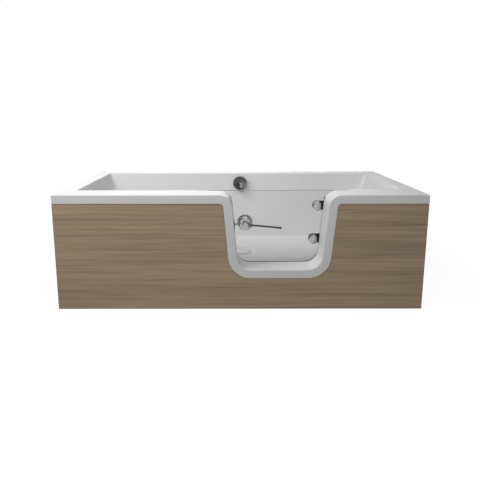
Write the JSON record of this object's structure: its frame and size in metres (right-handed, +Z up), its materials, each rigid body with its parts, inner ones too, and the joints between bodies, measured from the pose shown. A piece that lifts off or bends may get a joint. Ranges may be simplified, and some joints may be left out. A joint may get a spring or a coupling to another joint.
{
  "type": "walk-in bathtub",
  "caption": "Rectangular built-in bath with a moulded white shell, a wooden front panel and an inward-opening glass door in a framed doorway, on a levelled steel frame.",
  "frame": {"origin": "on the floor, under the middle of the bath", "axes": "+X along the bath to the right seen from the front panel, +Y from the front panel to the back, +Z up"},
  "size_m": [1.7, 0.75, 0.545],
  "materials": {
    "moulded_shell": "white, smooth, slightly glossy",
    "oak_panel": "grey-brown oak with horizontal grain",
    "base_board": "raw chipboard",
    "batten_wood": "raw softwood",
    "frame_steel": "grey powder coat",
    "zinc_steel": "zinc plated",
    "foot_plastic": "black moulded plastic",
    "black_rubber": "matt",
    "door_glass": "clear toughened glass",
    "clear_seal": "translucent grey",
    "polished_metal": "polished",
    "black_metal": "black coated",
    "spindle_brass": "turned",
    "waste_plastic": "moulded"
  },
  "bodies": {
    "bath": {"base_board": "base_board", "bath_shell": "moulded_shell", "bracket_screws": "zinc_steel", "control_cable": "black_rubber", "cross_rail_left": "frame_steel", "cross_rail_left_end": "frame_steel", "cross_rail_right": "frame_steel", "cross_rail_right_end": "frame_steel", "dip_tube": "waste_plastic", "door_gasket": "clear_seal", "drain_flange": "polished_metal", "drain_gasket": "black_rubber", "foot_nuts": "zinc_steel", "foot_pads": "foot_plastic", "foot_rods": "zinc_steel", "front_panel": "oak_panel", "hinge_backing_plates": "zinc_steel", "hinge_lower_bracket": "black_metal", "hinge_pins": "zinc_steel", "hinge_upper_bracket": "black_metal", "hinge_wall_screws": "zinc_steel", "lock_keeper": "polished_metal", "overflow_cup": "waste_plastic", "overflow_gasket": "black_rubber", "overflow_pipe": "waste_plastic", "overflow_rosette": "polished_metal", "panel_brackets": "zinc_steel", "post_back_inner_left": "frame_steel", "post_back_inner_right": "frame_steel", "post_back_left": "frame_steel", "post_back_right": "frame_steel", "post_front_left": "frame_steel", "post_front_right": "frame_steel", "post_pads": "black_rubber", "rail_back": "frame_steel", "rail_front": "frame_steel", "rim_batten_left": "batten_wood", "rim_batten_right": "batten_wood", "waste_trap": "waste_plastic"},
    "door": {"glass_door": "door_glass", "hinge_upper_disc": "polished_metal", "hinge_lower_disc": "polished_metal", "hinge_upper_arm": "black_metal", "hinge_lower_arm": "black_metal", "hinge_bolts": "zinc_steel", "hinge_gaskets": "clear_seal", "lock_body": "polished_metal", "lock_inner_cap": "polished_metal", "lock_gaskets": "clear_seal"},
    "lever": {"lever_hub": "polished_metal", "lever_bar": "polished_metal", "lever_sleeve": "polished_metal", "lever_tip": "polished_metal"},
    "knob": {"overflow_knob": "polished_metal", "overflow_spindle": "spindle_brass", "cable_drum": "foot_plastic"},
    "plug": {"drain_cover": "polished_metal", "plug_seal": "black_rubber", "plug_stem": "zinc_steel"}
  },
  "joints": [
    {"name": "door_swing", "type": "hinge", "parent": "bath", "child": "door", "pos_m": [0.462, -0.23, 0.386], "axis": [0, 0, -1], "range_deg": [0, 50]},
    {"name": "lever_turn", "type": "hinge", "parent": "door", "child": "lever", "pos_m": [0.02399, -0.3068, 0.39], "axis": [0, 1, 0], "range_deg": [0, 80]},
    {"name": "overflow_turn", "type": "hinge", "parent": "bath", "child": "knob", "pos_m": [0.01, 0.28216, 0.489], "axis": [0, -0.9987, 0.0506], "range_deg": [0, 90]},
    {"name": "plug_lift", "type": "slide", "parent": "bath", "child": "plug", "axis": [0, 0, 1], "range_m": [0, 0.008]}
  ],
  "couplings": [
    {"joint": "plug_lift", "follows": "overflow_turn", "m_per_rad": 0.005093}
  ]
}
